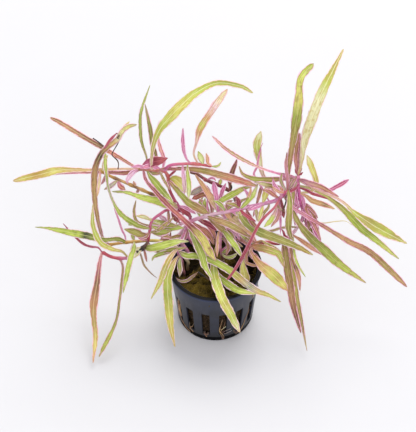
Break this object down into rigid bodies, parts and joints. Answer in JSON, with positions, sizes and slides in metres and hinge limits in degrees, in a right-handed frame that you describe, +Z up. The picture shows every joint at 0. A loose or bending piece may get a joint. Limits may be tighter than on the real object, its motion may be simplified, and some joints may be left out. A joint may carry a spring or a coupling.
{
  "type": "potted aquarium plant, chai hygrophila lancea",
  "caption": "Aquarium plant with long narrow green, yellow and pink leaves on slender stems, growing out of brown wool in a small black slotted net pot that stands on its base.",
  "frame": {"origin": "centre of the underside of the pot, on the surface it stands on", "axes": "+Z up, +X to the right as the picture shows the plant, -Y towards the side that the picture shows"},
  "size_m": [0.2068, 0.0926, 0.1418],
  "materials": {
    "pot": "moulded black plastic, satin, greyish where light falls on the wall",
    "wool": "damp brown mineral wool, fibrous and matt",
    "stem_red": "fleshy stem, rose to crimson, satin",
    "stem_mauve": "fleshy stem, pale lilac to mauve, satin",
    "stem_gold": "fleshy stem, golden brown, satin",
    "leaf_green": "thin leaf, fresh green with pale pink margin",
    "leaf_yellow": "thin leaf, yellow-green with pale pink margin",
    "leaf_olive": "thin leaf, olive green with pink margin",
    "leaf_tan": "thin leaf, tan to salmon",
    "leaf_brown": "thin leaf, brown-olive with mauve margin",
    "leaf_rose": "thin leaf, rose pink",
    "leaf_red": "thin leaf, coral crimson"
  },
  "bodies": {
    "root": {"net_pot": "pot", "wool_plug": "wool", "stem_left_back": "stem_red", "stem_crossing": "stem_mauve", "stem_right": "stem_red", "stem_left_gold": "stem_gold", "stem_middle": "stem_mauve", "stem_front_right": "stem_gold", "stem_front": "stem_gold", "stem_front_left": "stem_red", "stem_gold_branch": "stem_gold", "stem_left_branch": "stem_red", "stem_top_branch": "stem_red", "leaf_left_1": "leaf_tan", "leaf_left_2": "leaf_yellow", "leaf_left_3": "leaf_brown", "leaf_left_4": "leaf_olive", "leaf_left_5": "leaf_yellow", "leaf_left_6": "leaf_green", "leaf_left_7": "leaf_green", "leaf_low_left_1": "leaf_green", "leaf_low_left_2": "leaf_tan", "leaf_low_left_3": "leaf_olive", "leaf_low_left_4": "leaf_green", "leaf_low_left_5": "leaf_green", "leaf_top_1": "leaf_green", "leaf_top_2": "leaf_olive", "leaf_top_3": "leaf_yellow", "leaf_top_4": "leaf_rose", "leaf_top_5": "leaf_tan", "leaf_middle_1": "leaf_brown", "leaf_middle_2": "leaf_olive", "leaf_middle_3": "leaf_tan", "leaf_middle_4": "leaf_olive", "leaf_middle_5": "leaf_green", "leaf_middle_6": "leaf_olive", "leaf_red": "leaf_red", "leaf_right_1": "leaf_green", "leaf_right_2": "leaf_yellow", "leaf_right_3": "leaf_brown", "leaf_right_4": "leaf_olive", "leaf_right_5": "leaf_brown", "leaf_right_6": "leaf_green", "leaf_right_7": "leaf_brown", "leaf_right_8": "leaf_olive", "leaf_right_9": "leaf_brown", "leaf_right_10": "leaf_olive", "leaf_high_1": "leaf_olive", "leaf_high_2": "leaf_yellow", "leaf_high_3": "leaf_brown", "leaf_high_4": "leaf_yellow", "leaf_high_5": "leaf_rose", "leaf_front_1": "leaf_yellow", "leaf_front_2": "leaf_green", "leaf_front_3": "leaf_green", "leaf_front_4": "leaf_tan", "leaf_front_5": "leaf_tan", "leaf_front_6": "leaf_yellow", "leaf_front_7": "leaf_yellow", "leaf_front_8": "leaf_green"}
  },
  "joints": []
}
